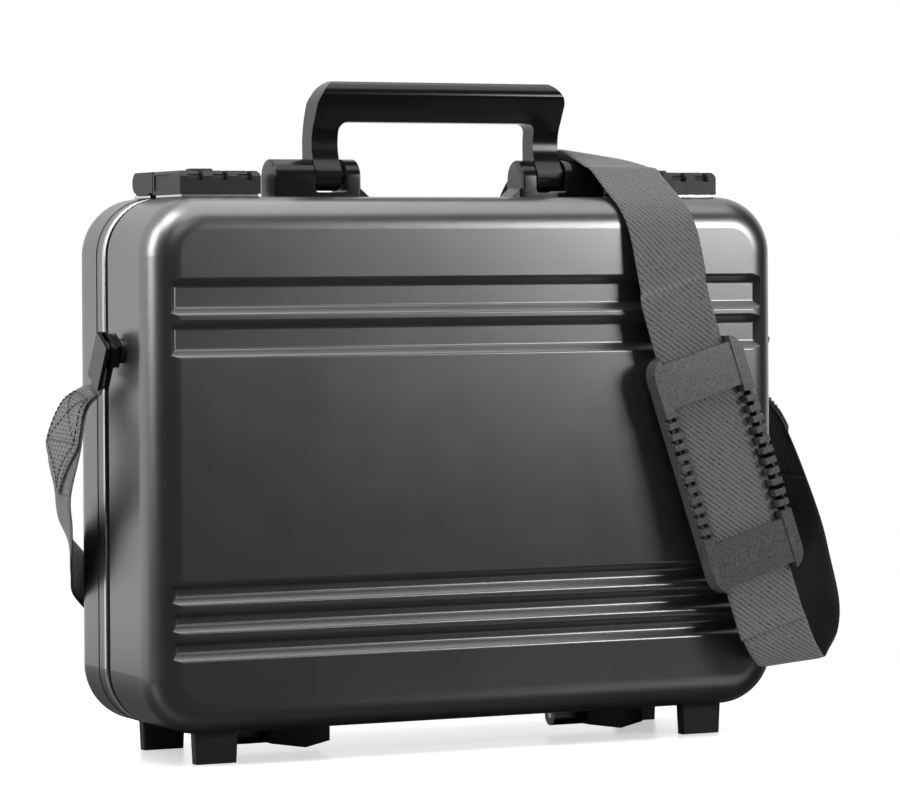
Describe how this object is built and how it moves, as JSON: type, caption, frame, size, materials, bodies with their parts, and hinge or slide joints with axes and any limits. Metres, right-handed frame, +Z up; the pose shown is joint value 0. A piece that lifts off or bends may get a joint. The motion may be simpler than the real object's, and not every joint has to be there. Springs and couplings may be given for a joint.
{
  "type": "laptop hard case",
  "caption": "Hard-shell laptop case with a bottom-hinged lid, top combination locks, swing handle, feet and a padded shoulder strap on side anchors.",
  "frame": {"origin": "on the floor under the middle of the case and its strap, between the four feet", "axes": "+X to the right along the case's width, +Y to the back, +Z up"},
  "size_m": [0.5178, 0.2006, 0.4395],
  "materials": {
    "shell": "black satin anodised",
    "bright": "bright machined",
    "steel": "satin",
    "gloss_black": "semi gloss black",
    "matte_black": "fine matte texture",
    "dark_metal": "satin black",
    "rubber": "matte",
    "lining": "brushed lining",
    "padding": "padded fabric",
    "organiser": "woven fabric",
    "webbing": "twill webbing"
  },
  "bodies": {
    "base": {"front_shell": "shell", "front_rim": "bright", "rim_gasket": "rubber", "front_liner": "lining", "laptop_cradle": "padding", "laptop_belt": "webbing", "belt_buckle": "matte_black", "front_feet": "matte_black", "front_foot_screws": "steel", "handle_brackets": "gloss_black", "handle_pins": "steel", "bracket_screws": "steel", "hinge_pins": "steel", "hinge_blocks": "matte_black", "base_hinge_rivets": "steel", "base_hinge_leaves": "steel", "front_stay_studs": "steel", "anchor_studs": "dark_metal", "lock_housings": "gloss_black", "lock_plates": "bright", "wheel_spindles": "steel", "wheel_detents": "steel", "strap_left_end": "webbing", "strap_rear_run": "webbing", "strap_front_run": "webbing", "strap_right_end": "webbing"},
    "lid": {"rear_shell": "shell", "rear_rim": "bright", "rear_liner": "lining", "organiser_panel": "organiser", "document_pocket": "organiser", "card_pockets": "organiser", "rear_feet": "matte_black", "rear_foot_screws": "steel", "lid_hinge_leaves": "steel", "lid_hinge_rivets": "steel", "rear_stay_studs": "steel", "hasp_brackets": "gloss_black", "hasp_plates": "bright", "hasp_pins": "steel"},
    "handle": {"handle": "gloss_black"},
    "left_hasp": {"left_hasp": "gloss_black"},
    "left_slide": {"left_slide_and_bolt": "matte_black"},
    "left_wheel_1": {"left_wheel_1": "matte_black"},
    "left_wheel_2": {"left_wheel_2": "matte_black"},
    "left_wheel_3": {"left_wheel_3": "matte_black"},
    "left_stay_front_arm": {"left_stay_front_arm": "steel"},
    "left_stay_rear_arm": {"left_stay_rear_arm": "steel"},
    "left_anchor_clip": {"left_anchor_clip": "dark_metal"},
    "right_hasp": {"right_hasp": "gloss_black"},
    "right_slide": {"right_slide_and_bolt": "matte_black"},
    "right_wheel_1": {"right_wheel_1": "matte_black"},
    "right_wheel_2": {"right_wheel_2": "matte_black"},
    "right_wheel_3": {"right_wheel_3": "matte_black"},
    "right_stay_front_arm": {"right_stay_front_arm": "steel"},
    "right_stay_rear_arm": {"right_stay_rear_arm": "steel"},
    "right_anchor_clip": {"right_anchor_clip": "dark_metal"},
    "shoulder_pad": {"pad_frame": "matte_black", "pad_cushion": "rubber"}
  },
  "joints": [
    {"name": "lid_hinge", "type": "hinge", "parent": "base", "child": "lid", "pos_m": [0, 0.0075, 0.012], "axis": [-1, 0, 0], "range_deg": [0, 95], "deforming": ["strap_rear_run"]},
    {"name": "handle_swing", "type": "hinge", "parent": "base", "child": "handle", "pos_m": [0, -0.008, 0.377], "axis": [-1, 0, 0], "range_deg": [-75, 75]},
    {"name": "left_hasp_lift", "type": "hinge", "parent": "lid", "child": "left_hasp", "pos_m": [0, 0.0368, 0.3731], "axis": [-1, 0, 0], "range_deg": [0, 100]},
    {"name": "left_slide_travel", "type": "slide", "parent": "base", "child": "left_slide", "axis": [-1, 0, 0], "range_m": [0, 0.006]},
    {"name": "left_wheel_1_turn", "type": "hinge", "parent": "base", "child": "left_wheel_1", "pos_m": [-0.168, -0.03, 0.3732], "axis": [1, 0, 0], "continuous": true},
    {"name": "left_wheel_2_turn", "type": "hinge", "parent": "base", "child": "left_wheel_2", "pos_m": [-0.168, -0.03, 0.3732], "axis": [1, 0, 0], "continuous": true},
    {"name": "left_wheel_3_turn", "type": "hinge", "parent": "base", "child": "left_wheel_3", "pos_m": [-0.168, -0.03, 0.3732], "axis": [1, 0, 0], "continuous": true},
    {"name": "left_stay_front", "type": "hinge", "parent": "base", "child": "left_stay_front_arm", "pos_m": [0, -0.0075, 0.131], "axis": [-1, 0, 0], "range_deg": [0, 95]},
    {"name": "left_stay_rear", "type": "hinge", "parent": "left_stay_front_arm", "child": "left_stay_rear_arm", "pos_m": [0, 0.0075, 0.25], "axis": [-1, 0, 0], "range_deg": [-95, 0]},
    {"name": "left_anchor_swivel", "type": "hinge", "parent": "base", "child": "left_anchor_clip", "pos_m": [0, -0.018, 0.2645], "axis": [1, 0, 0], "range_deg": [-20, 20], "deforming": ["strap_left_end"]},
    {"name": "right_hasp_lift", "type": "hinge", "parent": "lid", "child": "right_hasp", "pos_m": [0, 0.0368, 0.3731], "axis": [-1, 0, 0], "range_deg": [0, 100], "deforming": ["strap_rear_run"]},
    {"name": "right_slide_travel", "type": "slide", "parent": "base", "child": "right_slide", "axis": [1, 0, 0], "range_m": [0, 0.006]},
    {"name": "right_wheel_1_turn", "type": "hinge", "parent": "base", "child": "right_wheel_1", "pos_m": [0.168, -0.03, 0.3732], "axis": [1, 0, 0], "continuous": true},
    {"name": "right_wheel_2_turn", "type": "hinge", "parent": "base", "child": "right_wheel_2", "pos_m": [0.168, -0.03, 0.3732], "axis": [1, 0, 0], "continuous": true},
    {"name": "right_wheel_3_turn", "type": "hinge", "parent": "base", "child": "right_wheel_3", "pos_m": [0.168, -0.03, 0.3732], "axis": [1, 0, 0], "continuous": true},
    {"name": "right_stay_front", "type": "hinge", "parent": "base", "child": "right_stay_front_arm", "pos_m": [0, -0.0075, 0.131], "axis": [-1, 0, 0], "range_deg": [0, 95]},
    {"name": "right_stay_rear", "type": "hinge", "parent": "right_stay_front_arm", "child": "right_stay_rear_arm", "pos_m": [0, 0.0075, 0.25], "axis": [-1, 0, 0], "range_deg": [-95, 0]},
    {"name": "right_anchor_swivel", "type": "hinge", "parent": "base", "child": "right_anchor_clip", "pos_m": [0, -0.018, 0.2645], "axis": [1, 0, 0], "range_deg": [-20, 20], "deforming": ["strap_right_end"]},
    {"name": "pad_slide", "type": "slide", "parent": "base", "child": "shoulder_pad", "axis": [-0.2904, 0.0488, 0.9557], "range_m": [-0.012, 0.012]}
  ],
  "couplings": [
    {"joint": "left_stay_front", "follows": "lid_hinge", "ratio": 1},
    {"joint": "left_stay_rear", "follows": "lid_hinge", "ratio": -1},
    {"joint": "right_stay_front", "follows": "lid_hinge", "ratio": 1},
    {"joint": "right_stay_rear", "follows": "lid_hinge", "ratio": -1}
  ]
}
